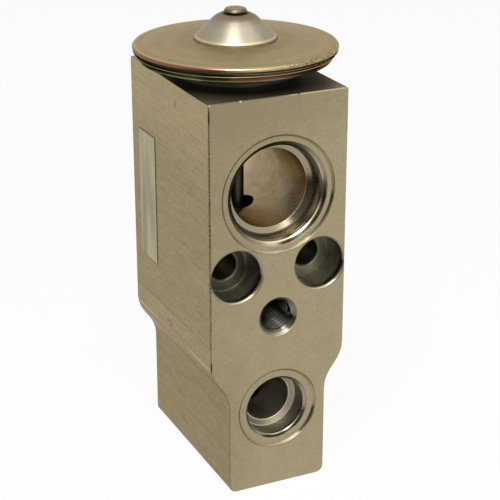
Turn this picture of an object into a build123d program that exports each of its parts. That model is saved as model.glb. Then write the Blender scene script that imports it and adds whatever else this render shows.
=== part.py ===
from build123d import *
import math
import os

os.makedirs("parts", exist_ok=True)

# Thermostatic expansion valve of the block type, for a vehicle's air conditioning.
# Lengths are in millimetres. The origin is at the middle of the block's foot, +Z points up to the
# thermal head, and -Y is the face where the pipes arrive. The valve is drawn closed.

# Block
body_width = 28.0
body_depth = 38.0
body_height = 79.2
foot_width = 20.4
foot_height = 20.75
shoulder_height = 5.25
shoulder_radius = 7.0
foot_corner_radius = 1.5
top_corner_radius = 0.4
face_edge_break = 0.2

# Pipe ports, each with a spotface whose edge slopes, a chamfered pilot with a sloping floor, and a bore
port_spotface_depth = 0.4
port_spotface_edge = 0.4
port_floor_angle = 26.0
suction_height = 60.45
suction_spotface_radius = 11.5
suction_chamfer = 1.1
suction_pilot_radius = 9.1
suction_pilot_depth = 3.7
suction_bore_radius = 7.75
liquid_spotface_radius = 8.25
liquid_chamfer = 0.6
liquid_pilot_radius = 6.0
liquid_pilot_depth = 4.5
inlet_height = 16.55
inlet_bore_radius = 4.8
outlet_height = 28.6
outlet_bore_radius = 4.4
outlet_overrun = 2.5
drill_point_angle = 118.0

# Holes for the two long screws and for the pipe plate's stud
screw_spacing = 17.24
screw_height = 45.57
screw_hole_radius = 2.75
screw_hole_chamfer = 0.25
screw_head_radius = 5.05
screw_head_depth = 6.0
screw_mouth_chamfer = 0.3
stud_height = 36.0
stud_hole_radius = 3.0
stud_countersink_radius = 4.0
stud_hole_depth = 14.0

# Fits
running_clearance = 0.04
seated_clearance = 0.02
seal_clearance = 0.05
seal_bevel = 0.5

# Valve seat, ball and pin
seat_web = 0.8
seat_thickness = 1.6
seat_radius = 3.2
seat_chamfer = 0.25
orifice_radius = 1.6
flow_hole_radius = 2.0
ball_radius = 2.4
pin_radius = 1.5
pin_tip_radius = 0.9
pin_tip_length = 2.6

# Pin seal, below the suction bore
seal_recess_radius = 3.4
seal_recess_depth = 6.5
push_nut_thickness = 0.4
push_nut_hole_clearance = 0.2
push_nut_notch_width = 0.8
push_nut_notch_depth = 0.7
push_nut_notch_count = 6

# Spring chamber and adjusting screw
chamber_radius = 5.4
thread_radius = 6.0
thread_depth = 5.5
thread_mouth_chamfer = 0.6
screw_inset = 1.2
screw_thread_length = 3.6
screw_relief = 1.2
screw_land = 0.6
seal_groove_width = 2.0
seal_groove_depth = 1.45
key_across_flats = 5.0
key_depth = 3.0
screw_pilot_length = 1.6

# Ball holder, damper ring and spring
holder_cup_radius = 3.3
holder_cup_height = 1.5
holder_flange_radius = 4.3
holder_flange_height = 0.8
holder_wall_under_ball = 0.1
holder_spigot_length = 1.3
damper_thickness = 0.3
damper_leg_width = 2.2
damper_leg_height = 2.6
damper_leg_count = 3
damper_wall_clearance = 0.1
wire_radius = 0.55
spring_mean_radius = 3.6
spring_guide_clearance = 0.15
end_coil_pitch = 1.15
active_turns = 3
wire_facets = 12

# Thermal head: neck, two pressed shells, diaphragm, thrust plate and charge plug
socket_radius = 9.0
socket_depth = 8.0
head_groove_radius = 10.9
head_groove_depth = 1.7
vapour_hole_radius = 6.0
neck_length = 7.6
neck_bore_radius = 5.5
neck_lead_chamfer = 0.5
collar_radius = 11.6
collar_height = 1.0
neck_spigot_radius = 7.5
head_overhang = 0.42
cover_thickness = 1.0
cover_rim_chamfer = 0.35
cover_land_width = 1.92
cover_rise = 0.9
base_thickness = 1.2
base_rim_inset = 0.12
base_rim_flare = 1.2
base_rim_height = 2.2
base_rim_thickness = 1.8
base_land_width = 1.3
base_slope_width = 4.2
base_lip_chamfer = 0.25
diaphragm_thickness = 0.2
diaphragm_inset = 0.3
diaphragm_land_width = 2.5
diaphragm_slope_width = 4.1
diaphragm_rise = 0.3
dome_radius = 8.0
dome_height = 4.95
dome_flank_angle = 45.0
dome_foot_radius = 1.2
dome_shoulder_radius = 2.5
plug_radius = 2.25
plug_height = 0.65
plug_chamfer = 0.35
plug_stem_radius = 0.9
thrust_plate_margin = 0.4
thrust_plate_thickness = 1.4
thrust_stem_radius = 3.2
thrust_stem_length = 6.2
pin_socket_floor = 1.0

# Foil label on the left side
label_thickness = 0.08
label_length = 26.4
label_width = 8.25
label_foot_height = 39.3
label_back_inset = 3.8
label_corner_radius = 0.3

# Heights and places that follow from the sizes above
half_depth = body_depth / 2
seat_top = outlet_height - outlet_bore_radius - seat_web
seat_height = seat_top - seat_thickness
ball_centre = seat_height + seat_chamfer + orifice_radius - (ball_radius + seated_clearance) * math.sqrt(2)
ball_top = ball_centre + ball_radius
holder_flange_top = ball_centre - ball_radius - seated_clearance - holder_wall_under_ball
holder_flange_bottom = holder_flange_top - holder_flange_height
recess_floor = suction_height - suction_bore_radius - seal_recess_depth
socket_floor = body_height - socket_depth
screw_groove_bottom = screw_inset + screw_thread_length + screw_relief
screw_top = screw_groove_bottom + seal_groove_width + screw_land
spring_inner_radius = spring_mean_radius - wire_radius - spring_guide_clearance
base_bottom = body_height + collar_height
base_floor = base_bottom + base_thickness
base_rim_top = base_floor + base_rim_height
diaphragm_top = base_rim_top + diaphragm_thickness
thrust_plate_top = base_rim_top + diaphragm_rise - seated_clearance
thrust_plate_bottom = thrust_plate_top - thrust_plate_thickness
pin_top = thrust_plate_top - pin_socket_floor - seated_clearance
cover_radius = half_depth + head_overhang
cover_land_radius = cover_radius - cover_land_width
base_rim_radius = cover_radius - base_rim_inset
base_lower_edge_radius = base_rim_radius - base_rim_flare
base_slope_radius = base_lower_edge_radius - base_land_width
base_floor_radius = base_slope_radius - base_slope_width
diaphragm_radius = base_rim_radius - diaphragm_inset
diaphragm_slope_radius = diaphragm_radius - diaphragm_land_width
diaphragm_plate_radius = diaphragm_slope_radius - diaphragm_slope_width
thrust_plate_radius = diaphragm_plate_radius - thrust_plate_margin
cover_rim_top = diaphragm_top + cover_thickness
dome_foot_height = cover_rim_top + cover_rise
dome_top = dome_foot_height + dome_height


def drill_point(radius):
    """Length of the cone that a drill leaves at the end of a hole."""
    return radius / math.tan(math.radians(drill_point_angle / 2))


def axial_profile(start, *steps):
    """Half section of a stepped bore or turned piece on the valve's upright axis.

    Each step is a radius and the height at which that radius ends.
    """
    points = [(0, start)]
    for radius, end in steps:
        points += [(radius, points[-1][1]), (radius, end)]
    points.append((0, points[-1][1]))
    with BuildSketch(Plane.XZ) as profile:
        with BuildLine():
            Polyline(*points, close=True)
        make_face()
    return profile.sketch


def port_profile(side, height, spotface_radius, mouth_chamfer, pilot_radius, pilot_depth, bore_radius, bore_depth):
    """Half section of a pipe port, from the front face with side -1 or the back face with side 1."""
    chamfer_end = port_spotface_depth + mouth_chamfer
    floor_rise = (pilot_radius - bore_radius) * math.tan(math.radians(port_floor_angle))
    section = [
        (0, 0),
        (0, spotface_radius),
        (port_spotface_depth, spotface_radius - port_spotface_edge),
        (port_spotface_depth, pilot_radius + mouth_chamfer),
        (chamfer_end, pilot_radius),
        (pilot_depth, pilot_radius),
        (pilot_depth + floor_rise, bore_radius),
        (bore_depth, bore_radius),
        (bore_depth + drill_point(bore_radius), 0),
    ]
    points = [(side * (half_depth - depth), height + radius) for depth, radius in section]
    with BuildSketch(Plane.YZ) as profile:
        with BuildLine():
            Polyline(*points, close=True)
        make_face()
    return profile.sketch


def port_axis(height):
    """Line along which the ports at this height are bored."""
    return Axis((0, 0, height), (0, 1, 0))


def seal_section(radius, height, half_width):
    """Section of an O-ring as squeezed in its groove: flat where it bears, with bevelled corners."""
    with BuildSketch(Plane.XZ) as section:
        with Locations((radius, height)):
            Rectangle(2 * half_width, 2 * half_width)
        chamfer(section.vertices(), seal_bevel * half_width)
    return section.sketch


def rims(piece, radius):
    """Round edges of this radius on a piece."""
    circles = piece.edges().filter_by(GeomType.CIRCLE)
    return circles.filter_by(lambda rim: math.isclose(rim.radius, radius, abs_tol=1e-6))


# Valve body: a length of extruded aluminium bar, cut, ported and drilled
body_front = Plane(origin=(0, -half_depth, 0), x_dir=(1, 0, 0), z_dir=(0, -1, 0))
body_outline = [
    (foot_width / 2, 0),
    (foot_width / 2, foot_height),
    (body_width / 2, foot_height + shoulder_height),
    (body_width / 2, body_height),
]
body_outline += [(-x, z) for x, z in reversed(body_outline)]

with BuildPart() as valve_body:
    with BuildSketch(Plane.XZ) as bar_section:
        with BuildLine():
            Polyline(*body_outline, close=True)
        make_face()
        shoulders = vertices().filter_by_position(Axis.Y, foot_height, foot_height + shoulder_height)
        fillet(shoulders, shoulder_radius)
        fillet(vertices().group_by(Axis.Y)[0], foot_corner_radius)
        fillet(vertices().group_by(Axis.Y)[-1], top_corner_radius)
    extrude(amount=half_depth, both=True)
    chamfer(faces().filter_by(Axis.Y).edges(), face_edge_break)

    # the stepped bore on the valve's axis, from the adjusting screw up to the head's socket
    central_bore = axial_profile(
        0,
        (thread_radius, thread_depth),
        (chamber_radius, seat_height),
        (seat_radius, seat_top),
        (flow_hole_radius, outlet_height),
        (pin_radius + running_clearance, recess_floor),
        (seal_recess_radius, suction_height),
        (vapour_hole_radius, socket_floor),
        (socket_radius, body_height - head_groove_depth),
        (head_groove_radius, body_height),
    )
    revolve(central_bore, axis=Axis.Z, mode=Mode.SUBTRACT)

    # the suction vapour passes straight through, over the pin
    for side in (-1, 1):
        suction_port = port_profile(
            side, suction_height, suction_spotface_radius, suction_chamfer,
            suction_pilot_radius, suction_pilot_depth, suction_bore_radius, half_depth,
        )
        revolve(suction_port, axis=port_axis(suction_height), mode=Mode.SUBTRACT)

    # liquid enters below the seat from the front and leaves above it to the back
    inlet_port = port_profile(
        -1, inlet_height, liquid_spotface_radius, liquid_chamfer,
        liquid_pilot_radius, liquid_pilot_depth, inlet_bore_radius, half_depth,
    )
    revolve(inlet_port, axis=port_axis(inlet_height), mode=Mode.SUBTRACT)
    outlet_port = port_profile(
        1, outlet_height, liquid_spotface_radius, liquid_chamfer,
        liquid_pilot_radius, liquid_pilot_depth, outlet_bore_radius, half_depth + outlet_overrun,
    )
    revolve(outlet_port, axis=port_axis(outlet_height), mode=Mode.SUBTRACT)

    with Locations(body_front):
        with Locations((-screw_spacing / 2, screw_height), (screw_spacing / 2, screw_height)):
            head_mouth_radius = screw_head_radius + screw_mouth_chamfer
            CounterSinkHole(screw_head_radius, head_mouth_radius, screw_head_depth, counter_sink_angle=90)
            with Locations((0, 0, -screw_head_depth)):
                hole_mouth_radius = screw_hole_radius + screw_hole_chamfer
                CounterSinkHole(screw_hole_radius, hole_mouth_radius, body_depth, counter_sink_angle=90)
        with Locations((0, stud_height)):
            CounterSinkHole(stud_hole_radius, stud_countersink_radius, stud_hole_depth, counter_sink_angle=90)
        with Locations((0, stud_height, -stud_hole_depth)):
            Cone(
                0, stud_hole_radius, drill_point(stud_hole_radius),
                align=(Align.CENTER, Align.CENTER, Align.MAX), mode=Mode.SUBTRACT,
            )
    chamfer(rims(valve_body, thread_radius).sort_by(Axis.Z)[0], thread_mouth_chamfer)
valve_body.part.label = "valve_body"
export_step(valve_body.part, "parts/valve_body.step")

# Seat ring: hardened steel, pressed up into the chamber's roof
with BuildPart() as orifice_seat:
    ring_section = axial_profile(seat_height, (seat_radius - seated_clearance, seat_top))
    revolve(ring_section, axis=Axis.Z)
    with Locations((0, 0, seat_height)):
        Hole(orifice_radius)
    chamfer(rims(orifice_seat, orifice_radius).sort_by(Axis.Z)[0], seat_chamfer)
orifice_seat.part.label = "orifice_seat"
export_step(orifice_seat.part, "parts/orifice_seat.step")

# Ball: bearing steel, held up against the seat by its spring
with BuildPart() as valve_ball:
    with Locations((0, 0, ball_centre)):
        Sphere(ball_radius)
valve_ball.part.label = "valve_ball"
export_step(valve_ball.part, "parts/valve_ball.step")

# Ball holder: turned cup that carries the ball, with a spigot inside the spring
with BuildPart() as ball_holder:
    holder_section = axial_profile(
        holder_flange_bottom - holder_spigot_length,
        (spring_inner_radius, holder_flange_bottom),
        (holder_flange_radius, holder_flange_top),
        (holder_cup_radius, holder_flange_top + holder_cup_height),
    )
    revolve(holder_section, axis=Axis.Z)
    with Locations((0, 0, ball_centre)):
        Sphere(ball_radius + seated_clearance, mode=Mode.SUBTRACT)
ball_holder.part.label = "ball_holder"
export_step(ball_holder.part, "parts/ball_holder.step")

# Damper ring: spring steel, whose legs rub the chamber's wall and keep the ball from buzzing
damper_outer_radius = chamber_radius - damper_wall_clearance
with BuildPart() as damper_ring:
    with BuildSketch(Plane.XY.offset(holder_flange_top)):
        Circle(damper_outer_radius)
        Circle(holder_cup_radius + seated_clearance, mode=Mode.SUBTRACT)
    extrude(amount=damper_thickness)
    with BuildSketch(Plane.XY.offset(holder_flange_top)):
        with PolarLocations(damper_outer_radius, damper_leg_count, start_angle=90):
            Rectangle(damper_outer_radius, damper_leg_width)
        Circle(damper_outer_radius, mode=Mode.INTERSECT)
        Circle(damper_outer_radius - damper_thickness, mode=Mode.SUBTRACT)
    extrude(amount=damper_leg_height)
damper_ring.part.label = "damper_ring"
export_step(damper_ring.part, "parts/damper_ring.step")

# Spring: wire with closed ends, ground flat on the screw and under the holder. The wire's round
# section is drawn with facets, so that the coils stay light to mesh.
spring_height = holder_flange_bottom - screw_top
active_rise = spring_height - 2 * end_coil_pitch
with BuildPart() as valve_spring:
    with BuildLine() as coil:
        lower_coil = Helix(end_coil_pitch, end_coil_pitch, spring_mean_radius, center=(0, 0, screw_top))
        Helix(
            active_rise / active_turns, active_rise, spring_mean_radius,
            center=(0, 0, screw_top + end_coil_pitch),
        )
        Helix(
            end_coil_pitch, end_coil_pitch, spring_mean_radius,
            center=(0, 0, holder_flange_bottom - end_coil_pitch),
        )
    with BuildSketch(Plane(origin=lower_coil @ 0, z_dir=lower_coil % 0)):
        RegularPolygon(wire_radius, wire_facets)
    sweep(path=coil.wire(), is_frenet=True)
    with Locations((0, 0, screw_top)):
        Cylinder(
            chamber_radius, spring_height,
            align=(Align.CENTER, Align.CENTER, Align.MIN), mode=Mode.INTERSECT,
        )
valve_spring.part.label = "valve_spring"
export_step(valve_spring.part, "parts/valve_spring.step")

# Adjusting screw: sets the spring's preload, with a key socket below and a seal groove above
groove_root_radius = chamber_radius - seal_groove_depth
with BuildPart() as adjusting_screw:
    screw_section = axial_profile(
        screw_inset,
        (thread_radius - seal_clearance, screw_inset + screw_thread_length),
        (chamber_radius - seal_clearance, screw_groove_bottom),
        (groove_root_radius, screw_groove_bottom + seal_groove_width),
        (chamber_radius - seal_clearance, screw_top),
        (spring_inner_radius, screw_top + screw_pilot_length),
    )
    revolve(screw_section, axis=Axis.Z)
    with BuildSketch(Plane.XY.offset(screw_inset)):
        RegularPolygon(key_across_flats / 2, 6, major_radius=False)
    extrude(amount=key_depth, mode=Mode.SUBTRACT)
adjusting_screw.part.label = "adjusting_screw"
export_step(adjusting_screw.part, "parts/adjusting_screw.step")

# Adjusting screw's O-ring: squeezed between the groove and the chamber's wall
screw_ring_radius = seal_groove_depth / 2 - seal_clearance
with BuildPart() as adjusting_screw_o_ring:
    ring_radius = groove_root_radius + seal_groove_depth / 2
    ring_height = screw_groove_bottom + seal_groove_width / 2
    revolve(seal_section(ring_radius, ring_height, screw_ring_radius), axis=Axis.Z)
adjusting_screw_o_ring.part.label = "adjusting_screw_o_ring"
export_step(adjusting_screw_o_ring.part, "parts/adjusting_screw_o_ring.step")

# Valve pin: steel rod from the head's thrust plate down to the ball
with BuildPart() as valve_pin:
    shank_bottom = ball_top + seated_clearance + pin_tip_length
    pin_section = axial_profile(
        ball_top + seated_clearance,
        (pin_tip_radius, shank_bottom),
        (pin_radius, pin_top),
    )
    revolve(pin_section, axis=Axis.Z)
    chamfer(rims(valve_pin, pin_radius).sort_by(Axis.Z)[0], pin_radius - pin_tip_radius - seated_clearance)
valve_pin.part.label = "valve_pin"
export_step(valve_pin.part, "parts/valve_pin.step")

# Pin's O-ring: keeps the liquid side apart from the suction side
pin_gap = seal_recess_radius - pin_radius
pin_ring_radius = pin_gap / 2 - seal_clearance
with BuildPart() as pin_o_ring:
    ring_radius = pin_radius + pin_gap / 2
    revolve(seal_section(ring_radius, recess_floor + pin_ring_radius, pin_ring_radius), axis=Axis.Z)
pin_o_ring.part.label = "pin_o_ring"
export_step(pin_o_ring.part, "parts/pin_o_ring.step")

# Push nut: sprung steel washer whose outer teeth grip the recess above the O-ring
with BuildPart() as push_nut:
    with BuildSketch(Plane.XY.offset(recess_floor + 2 * pin_ring_radius)):
        Circle(seal_recess_radius - seated_clearance)
        Circle(pin_radius + push_nut_hole_clearance, mode=Mode.SUBTRACT)
        with PolarLocations(seal_recess_radius, push_nut_notch_count):
            Rectangle(2 * push_nut_notch_depth, push_nut_notch_width, mode=Mode.SUBTRACT)
    extrude(amount=push_nut_thickness)
push_nut.part.label = "push_nut"
export_step(push_nut.part, "parts/push_nut.step")

# Head neck: turned steel, screwed into the block and brazed to the lower shell
with BuildPart() as head_neck:
    neck_section = axial_profile(
        body_height - neck_length,
        (socket_radius - seal_clearance, body_height),
        (collar_radius, base_bottom),
        (neck_spigot_radius, base_floor),
    )
    revolve(neck_section, axis=Axis.Z)
    with Locations((0, 0, base_floor)):
        Hole(neck_bore_radius)
    chamfer(rims(head_neck, socket_radius - seal_clearance).sort_by(Axis.Z)[0], neck_lead_chamfer)
head_neck.part.label = "head_neck"
export_step(head_neck.part, "parts/head_neck.step")

# Head O-ring: lies in the block's top groove, under the neck's collar
head_ring_radius = head_groove_depth / 2 - seal_clearance
with BuildPart() as head_o_ring:
    ring_radius = (socket_radius + head_groove_radius) / 2
    ring_height = body_height - head_groove_depth / 2
    revolve(seal_section(ring_radius, ring_height, head_ring_radius), axis=Axis.Z)
head_o_ring.part.label = "head_o_ring"
export_step(head_o_ring.part, "parts/head_o_ring.step")

# Lower shell: pressed steel dish, welded at its rim to the diaphragm and the upper shell
with BuildPart() as head_base:
    with BuildSketch(Plane.XZ):
        with BuildLine():
            Polyline(
                (neck_spigot_radius + seated_clearance, base_bottom),
                (base_floor_radius, base_bottom),
                (base_slope_radius, base_rim_top - base_rim_thickness),
                (base_lower_edge_radius, base_rim_top - base_rim_thickness),
                (base_rim_radius, base_rim_top),
                (base_slope_radius, base_rim_top),
                (base_floor_radius, base_floor),
                (neck_spigot_radius + seated_clearance, base_floor),
                close=True,
            )
        make_face()
    revolve(axis=Axis.Z)
    chamfer(rims(head_base, base_lower_edge_radius), base_lip_chamfer)
head_base.part.label = "head_base"
export_step(head_base.part, "parts/head_base.step")

# Diaphragm: thin stainless sheet, clamped at the rim, with a raised flat over the thrust plate
with BuildPart() as diaphragm:
    with BuildSketch(Plane.XZ):
        with BuildLine():
            lower_side = Polyline(
                (0, base_rim_top + diaphragm_rise),
                (diaphragm_plate_radius, base_rim_top + diaphragm_rise),
                (diaphragm_slope_radius, base_rim_top),
                (diaphragm_radius, base_rim_top),
            )
            upper_side = Polyline(
                (diaphragm_radius, diaphragm_top),
                (diaphragm_slope_radius, diaphragm_top),
                (diaphragm_plate_radius, diaphragm_top + diaphragm_rise),
                (0, diaphragm_top + diaphragm_rise),
            )
            Line(lower_side @ 1, upper_side @ 0)
            Line(upper_side @ 1, lower_side @ 0)
        make_face()
    revolve(axis=Axis.Z)
diaphragm.part.label = "diaphragm"
export_step(diaphragm.part, "parts/diaphragm.step")

# Upper shell: pressed steel, with a flat rim, a shallow cone and the charge dome
dome_flank = dome_height / math.tan(math.radians(dome_flank_angle))
dome_shoulder = (dome_radius - dome_flank, dome_top)
dome_foot = (dome_radius, dome_foot_height)
cover_edge = (cover_radius, cover_rim_top)
with BuildPart() as head_cover:
    with BuildSketch(Plane.XZ) as outer_section:
        with BuildLine():
            Polyline(
                (0, dome_top), dome_shoulder, dome_foot, cover_edge,
                (cover_radius, diaphragm_top), (0, diaphragm_top), close=True,
            )
        make_face()
        fillet(outer_section.vertices().sort_by_distance(dome_shoulder)[0], dome_shoulder_radius)
        fillet(outer_section.vertices().sort_by_distance(dome_foot)[0], dome_foot_radius)
        chamfer(outer_section.vertices().sort_by_distance(cover_edge)[0], cover_rim_chamfer)
    revolve(axis=Axis.Z)
    with BuildSketch(Plane.XZ):
        with BuildLine():
            Polyline(
                (0, dome_top - cover_thickness),
                (dome_radius - dome_flank - cover_thickness / 2, dome_top - cover_thickness),
                (dome_radius - cover_thickness, dome_foot_height - cover_thickness),
                (cover_land_radius, diaphragm_top),
                (0, diaphragm_top),
                close=True,
            )
        make_face()
    revolve(axis=Axis.Z, mode=Mode.SUBTRACT)
    with Locations((0, 0, dome_top)):
        Hole(plug_stem_radius + seated_clearance)
head_cover.part.label = "head_cover"
export_step(head_cover.part, "parts/head_cover.step")

# Charge plug: brass button that closes the hole through which the head is filled
with BuildPart() as charge_plug:
    plug_section = axial_profile(
        dome_top - cover_thickness,
        (plug_stem_radius, dome_top),
        (plug_radius, dome_top + plug_height),
    )
    revolve(plug_section, axis=Axis.Z)
    chamfer(rims(charge_plug, plug_radius).sort_by(Axis.Z)[-1], plug_chamfer)
charge_plug.part.label = "charge_plug"
export_step(charge_plug.part, "parts/charge_plug.step")

# Thrust plate: follows the diaphragm and holds the pin's upper end in its stem
with BuildPart() as thrust_plate:
    plate_section = axial_profile(
        thrust_plate_bottom - thrust_stem_length,
        (thrust_stem_radius, thrust_plate_bottom),
        (thrust_plate_radius, thrust_plate_top),
    )
    revolve(plate_section, axis=Axis.Z)
    pin_socket = axial_profile(
        thrust_plate_bottom - thrust_stem_length,
        (pin_radius + seated_clearance, pin_top + seated_clearance),
    )
    revolve(pin_socket, axis=Axis.Z, mode=Mode.SUBTRACT)
thrust_plate.part.label = "thrust_plate"
export_step(thrust_plate.part, "parts/thrust_plate.step")

# Side label: bare metal foil, stuck to the left side
label_plane = Plane(origin=(-body_width / 2, 0, label_foot_height), x_dir=(0, -1, 0), z_dir=(-1, 0, 0))
label_centre_y = half_depth - label_back_inset - label_width / 2
with BuildPart() as side_label:
    with BuildSketch(label_plane):
        with Locations((-label_centre_y, label_length / 2)):
            RectangleRounded(label_width, label_length, label_corner_radius)
    extrude(amount=label_thickness)
side_label.part.label = "side_label"
export_step(side_label.part, "parts/side_label.step")
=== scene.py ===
import math

import bmesh
import bpy
from mathutils import Matrix, Vector


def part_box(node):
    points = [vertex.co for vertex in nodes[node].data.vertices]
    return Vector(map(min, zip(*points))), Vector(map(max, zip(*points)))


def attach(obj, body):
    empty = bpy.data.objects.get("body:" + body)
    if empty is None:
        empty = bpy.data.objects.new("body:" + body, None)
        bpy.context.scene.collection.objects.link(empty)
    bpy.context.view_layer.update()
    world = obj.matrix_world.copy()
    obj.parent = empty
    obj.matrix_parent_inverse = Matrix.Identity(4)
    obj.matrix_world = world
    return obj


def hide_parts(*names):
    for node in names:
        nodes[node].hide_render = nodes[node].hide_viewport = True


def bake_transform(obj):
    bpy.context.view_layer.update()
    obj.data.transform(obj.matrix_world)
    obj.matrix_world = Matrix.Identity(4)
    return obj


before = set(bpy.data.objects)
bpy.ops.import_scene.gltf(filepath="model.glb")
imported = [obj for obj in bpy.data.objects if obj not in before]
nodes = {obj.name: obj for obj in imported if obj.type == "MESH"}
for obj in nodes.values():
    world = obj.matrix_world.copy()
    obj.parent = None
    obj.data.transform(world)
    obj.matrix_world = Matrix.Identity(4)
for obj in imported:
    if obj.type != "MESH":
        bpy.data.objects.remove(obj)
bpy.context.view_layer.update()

# Block: a length of extruded aluminium bar, sawn off, then faced, ported and drilled by machine. Its
# sides keep the fine drawn lines of the extrusion, its port faces are dull from the cutter and its bores
# are turned. The frame's solid is its mesh; burrs, knocks, a dotted dark edge line, and painted light
# and shade on the faces, bores, mouths and top are in the material.


class Wire:
    """A socket of a finish, so that sums on it are written as Python."""

    def __init__(self, finish, socket):
        self.finish = finish
        self.socket = socket

    def __add__(self, other):
        return self.finish.maths("ADD", self, other)

    def __sub__(self, other):
        return self.finish.maths("SUBTRACT", self, other)

    def __rsub__(self, other):
        return self.finish.maths("SUBTRACT", other, self)

    def __mul__(self, other):
        return self.finish.maths("MULTIPLY", self, other)

    def __truediv__(self, other):
        return self.finish.maths("DIVIDE", self, other)

    def __pow__(self, other):
        return self.finish.maths("POWER", self, other)

    def __abs__(self):
        return self.finish.maths("ABSOLUTE", self)

    __radd__ = __add__
    __rmul__ = __mul__

    def above(self, start, end):
        """0 below start, 1 above end, smooth between them. With start above end it falls instead."""
        rising = {"interpolation_type": "SMOOTHSTEP"}
        return self.finish.node("ShaderNodeMapRange", rising, {"Value": self, 1: start, 2: end})

    def near(self, value, reach, soft):
        """1 within reach of a value, falling to 0 over the soft distance."""
        return abs(self - value).above(reach + soft, reach)

    def part(self, name):
        """X, Y or Z of a vector."""
        return self.finish.node("ShaderNodeSeparateXYZ", {}, {0: self}, output=name)


class Finish:
    """The nodes of a material, or of another kind of data in the file that shows a shader."""

    def __init__(self, name, kind="materials"):
        self.owner = getattr(bpy.data, kind).new(name)
        self.owner.use_nodes = True
        self.tree = self.owner.node_tree
        self.tree.nodes.clear()
        self.place = self.node("ShaderNodeTexCoord", output="Object")

    def node(self, kind, settings=None, sockets=None, output=0):
        """Makes a node from its type, its settings and the values or wires of its sockets."""
        made = self.tree.nodes.new(kind)
        for name, value in (settings or {}).items():
            setattr(made, name, value)
        for name, value in (sockets or {}).items():
            if isinstance(value, Wire):
                self.tree.links.new(value.socket, made.inputs[name])
            else:
                made.inputs[name].default_value = value
        return Wire(self, None if output is None else made.outputs[output])

    def maths(self, operation, *values):
        """Result of a sum on numbers."""
        return self.node("ShaderNodeMath", {"operation": operation}, dict(enumerate(values)))

    def vector(self, operation, *values, output=0):
        """Result of a sum on places."""
        sockets = dict(enumerate(values))
        return self.node("ShaderNodeVectorMath", {"operation": operation}, sockets, output)

    def blend(self, amount, first, second):
        """Colour between two others."""
        sockets = {0: amount, 6: first, 7: second}
        return self.node("ShaderNodeMix", {"data_type": "RGBA"}, sockets, output=2)

    def stretched(self, along_x, along_y, along_z):
        """Place on the piece with a number of cells per metre along each axis."""
        scales = {0: self.place, "Scale": (along_x, along_y, along_z)}
        return self.node("ShaderNodeMapping", {}, scales)

    def noise(self, cells, detail=2.0, roughness=0.5):
        """Cloudy pattern from 0 to 1 on a stretched place, or of so many cells per metre."""
        place, scale = (cells, 1.0) if isinstance(cells, Wire) else (self.place, cells)
        sockets = {"Vector": place, "Scale": scale, "Detail": detail, "Roughness": roughness}
        return self.node("ShaderNodeTexNoise", {}, sockets)

    def from_upright(self, shift=0.0):
        """Distance from the valve's upright axis, or from a line beside it, shifted along X."""
        moved = self.vector("SUBTRACT", self.place, (shift, 0.0, 0.0))
        flat = self.vector("MULTIPLY", moved, (1.0, 1.0, 0.0))
        return self.vector("LENGTH", flat, output="Value")

    def spot(self, centre, reach):
        """1 at a point, falling to 0 at its reach along each axis."""
        scaled = self.vector("DIVIDE", self.vector("SUBTRACT", self.place, centre), reach)
        return self.vector("LENGTH", scaled, output="Value").above(1.0, 0.6)

    def bump(self, height, depth):
        """Normal that follows a height of 0 to 1, with its real depth in metres."""
        sockets = {"Height": height, "Distance": depth, "Strength": 1.0}
        return self.node("ShaderNodeBump", {}, sockets)

    def show(self, shader, output="ShaderNodeOutputMaterial"):
        """Ends the nodes in a shader and returns what they belong to."""
        self.node(output, {}, {"Surface": shader}, output=None)
        return self.owner

    def shade(self, **sockets):
        """Ends the nodes in a Principled shader, its sockets named with underscores."""
        named = {name.replace("_", " ").title(): value for name, value in sockets.items()}
        return self.show(self.node("ShaderNodeBsdfPrincipled", {}, named))


class Bore:
    """A bore that runs from front to back, as the wires across and up from its axis."""

    def __init__(self, across, up):
        self.across = across
        self.up = up
        self.distance = (across * across + up * up) ** 0.5

    def ring(self, radius, half_width, soft):
        """1 on a ring about the axis, falling to 0 over its soft edges."""
        return self.distance.near(radius, half_width, soft)

    def within(self, radius, soft):
        """1 inside a radius, falling to 0 over the soft edge around it."""
        return self.distance.above(radius + soft, radius)

    def side(self, degrees, start, end):
        """1 on the side in a direction, 0 degrees right and 90 up, falling to 0 away from it.

        Start and end are cosines of the angle from the direction.
        """
        way = math.radians(degrees)
        cosine = (self.across * math.cos(way) + self.up * math.sin(way)) / self.distance
        return cosine.above(start, end)


def dress(name, material):
    """Gives a solid of the frame its finish."""
    nodes[name].data.materials.clear()
    nodes[name].data.materials.append(material)


block_half_width = 0.014
block_half_depth = 0.019
block_height = 0.0792
foot_half_width = 0.0102
shoulder_end = 0.027
die_line_height = 0.0317
suction_height = 0.06045
inlet_height = 0.01655
outlet_height = 0.0286
stud_height = 0.036
screw_height = 0.04557
screw_offset = 0.00862
suction_spotface = 0.0115
liquid_spotface = 0.00825
suction_bore_radius = 0.0080
liquid_bore_radius = 0.0049
liquid_pilot_radius = 0.0063
suction_floor = 0.0036
liquid_floor = 0.0045
pocket_radius = 0.00505
pocket_depth = 0.0058
screw_hole_radius = 0.0028
stud_radius = 0.0031
stud_chamfer_radius = 0.0040
stud_lip_radius = 0.0034
head_shade_start = 0.0182
head_shade_end = 0.0272
head_shade_shift = 0.004

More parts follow.
